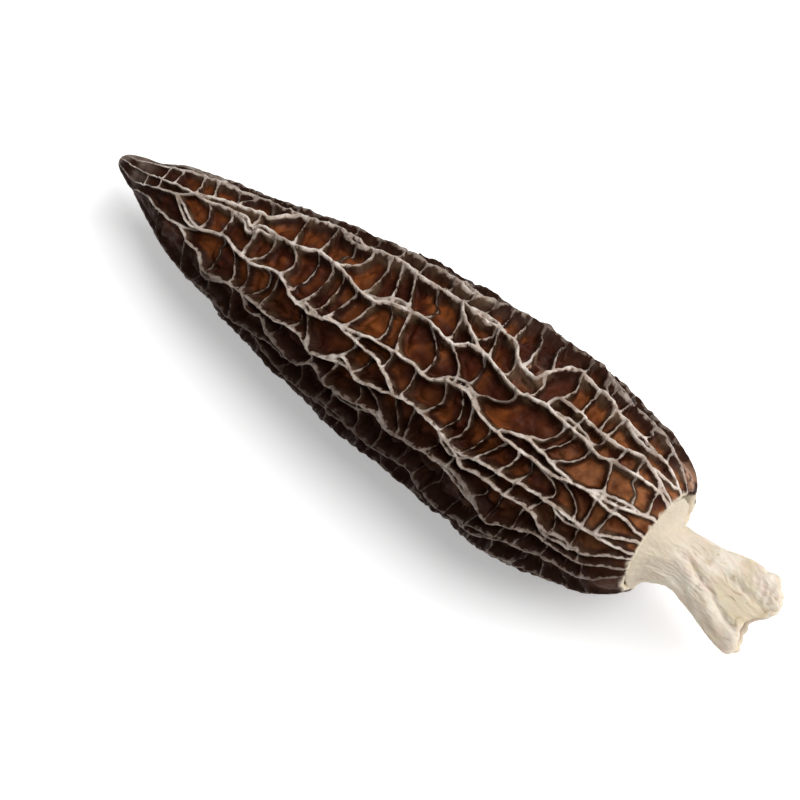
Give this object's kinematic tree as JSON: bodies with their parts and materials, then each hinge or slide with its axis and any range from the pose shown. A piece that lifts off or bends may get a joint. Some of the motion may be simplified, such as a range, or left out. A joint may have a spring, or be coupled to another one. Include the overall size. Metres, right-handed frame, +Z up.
{
  "type": "dried morel mushroom",
  "caption": "Dried morel mushroom lying on its side: a long dark conical cap with a raised net of ribs over deep pits, and a short pale stem with a flared, folded end.",
  "frame": {"origin": "centre of the bottom of the mushroom's bounding box, on the surface it lies on", "axes": "+Z up as it lies, +X from the tip of the cap to the cut end of the stem, +Y across"},
  "size_m": [0.0858, 0.0227, 0.0226],
  "materials": {
    "cap": "satin",
    "stem": "matte"
  },
  "bodies": {
    "root": {"cap": "cap", "stem": "stem"}
  },
  "joints": []
}
